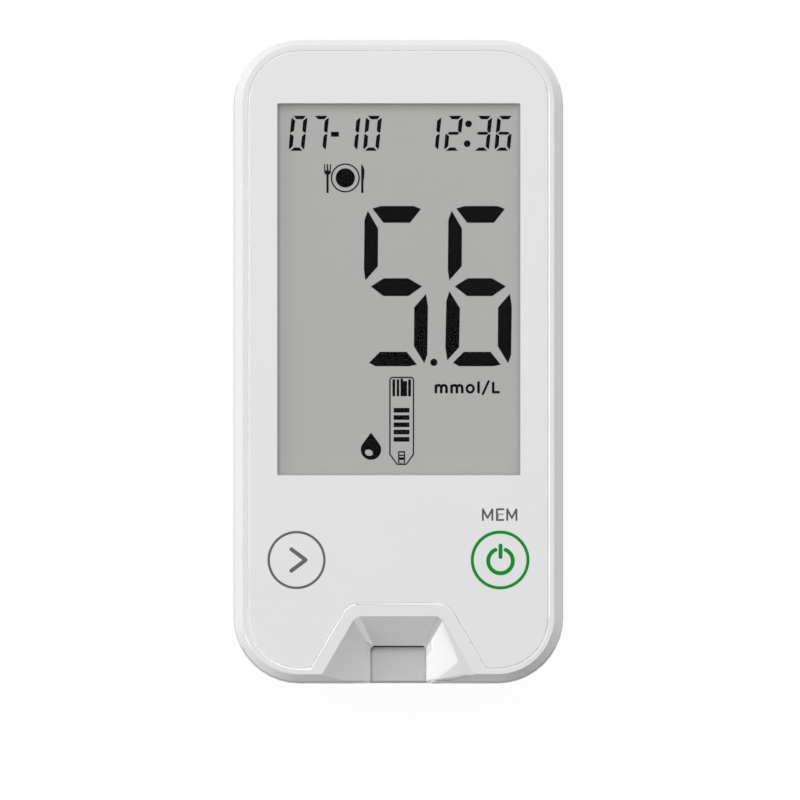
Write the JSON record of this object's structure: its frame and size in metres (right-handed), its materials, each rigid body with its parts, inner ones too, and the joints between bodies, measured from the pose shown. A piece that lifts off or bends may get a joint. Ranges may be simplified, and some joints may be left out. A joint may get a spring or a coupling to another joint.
{
  "type": "blood glucose meter",
  "caption": "Handheld blood glucose meter: bevelled white case, large segment display, push buttons, funnel strip port at the bottom end, battery door in the back.",
  "frame": {"origin": "centre of the flat back face, on which the meter lies", "axes": "+X to the right of the display, +Y towards the top of the display, +Z out of the face"},
  "size_m": [0.0502, 0.098, 0.02],
  "materials": {
    "shell": "satin white",
    "faceplate": "fine matt white",
    "button": "fine matt white",
    "port_grey": "satin light grey",
    "lens": "clear",
    "display": "grey liquid crystal",
    "frame": "white",
    "rubber": "striped conductive rubber",
    "board": "green solder mask",
    "black_plastic": "black",
    "steel": "bright",
    "nickel": "nickel plated",
    "cell_jacket": "printed jacket"
  },
  "bodies": {
    "case": {"front_housing": "shell", "rear_housing": "shell", "port_tray": "port_grey", "faceplate": "faceplate", "display_lens": "lens", "lcd_front_glass": "display", "lcd_rear_glass": "display", "lcd_reflector": "steel", "lcd_frame": "frame", "zebra_strip": "rubber", "main_board": "board", "strip_connector": "black_plastic", "strip_contact_1": "nickel", "strip_contact_2": "nickel", "strip_contact_3": "nickel", "strip_contact_4": "nickel", "arrow_switch": "black_plastic", "power_switch": "black_plastic", "processor_chip": "black_plastic", "memory_chip": "black_plastic", "clock_crystal": "steel", "buzzer": "black_plastic", "battery_left": "cell_jacket", "battery_right": "cell_jacket", "battery_spring_bottom": "steel", "battery_spring_top": "steel", "link_plate": "nickel", "negative_plate": "nickel", "positive_plate": "nickel", "case_screw_left": "steel", "case_screw_right": "steel", "board_screw_top": "steel", "board_screw_bottom": "steel"},
    "arrow_button": {"arrow_button": "button", "arrow_plunger": "black_plastic"},
    "power_button": {"power_button": "button", "power_plunger": "black_plastic"},
    "battery_door": {"battery_door": "shell"}
  },
  "joints": [
    {"name": "arrow_press", "type": "slide", "parent": "case", "child": "arrow_button", "axis": [0, 0, -1], "range_m": [0, 0.0005], "stiffness_N_per_m": 1000},
    {"name": "power_press", "type": "slide", "parent": "case", "child": "power_button", "axis": [0, 0, -1], "range_m": [0, 0.0005], "stiffness_N_per_m": 1000},
    {"name": "door_hinge", "type": "hinge", "parent": "case", "child": "battery_door", "pos_m": [0, 0.0322, 0.0003], "axis": [1, 0, 0], "range_deg": [0, 75]}
  ]
}
